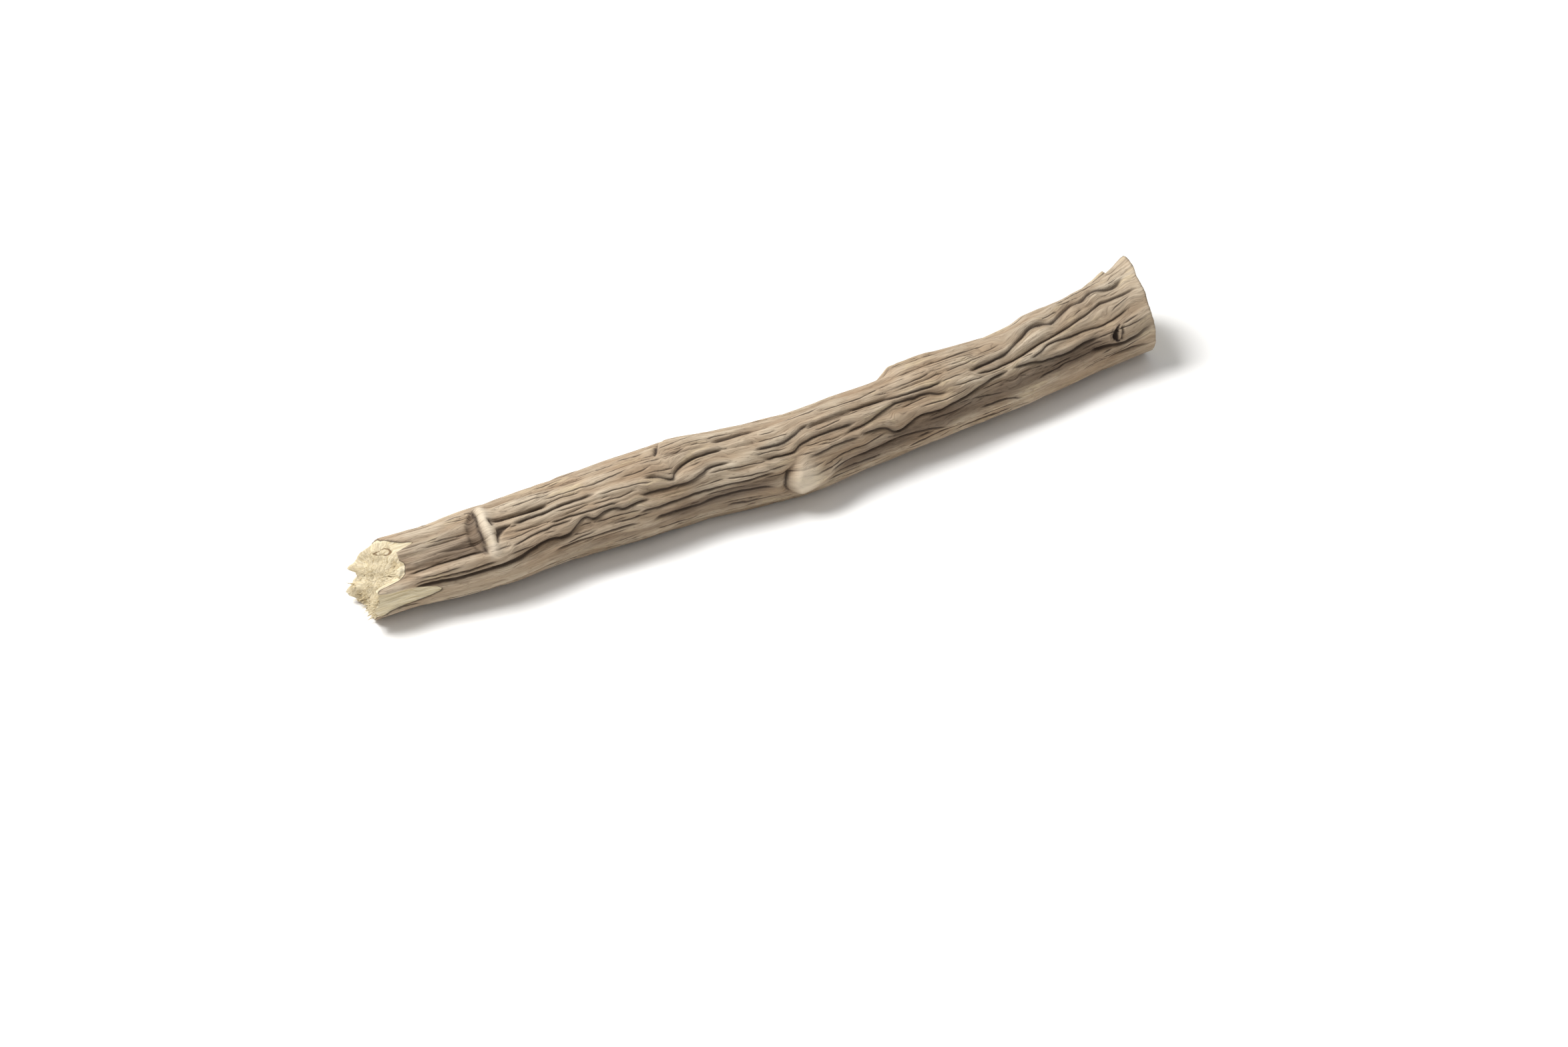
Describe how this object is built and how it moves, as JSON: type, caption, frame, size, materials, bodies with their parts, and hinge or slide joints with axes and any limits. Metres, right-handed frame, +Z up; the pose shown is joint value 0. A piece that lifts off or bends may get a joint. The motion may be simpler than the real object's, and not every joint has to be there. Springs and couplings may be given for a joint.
{
  "type": "licorice root",
  "caption": "Dried licorice root stick lying on its side: furrowed grey-brown bark, scar ring, rootlet knob, fibrous torn end and flared crown end.",
  "frame": {"origin": "middle of the box round the root, on the surface that it lies on", "axes": "+X along the root to the flared crown end, -X to the torn end, +Z up, -Y to the front, towards which its middle bows"},
  "size_m": [0.1752, 0.025, 0.0184],
  "materials": {
    "bark": "matt dry furrowed bark",
    "bare_wood": "matt fibrous pale yellow wood"
  },
  "bodies": {
    "root": {"licorice_root": "bark"}
  },
  "joints": []
}
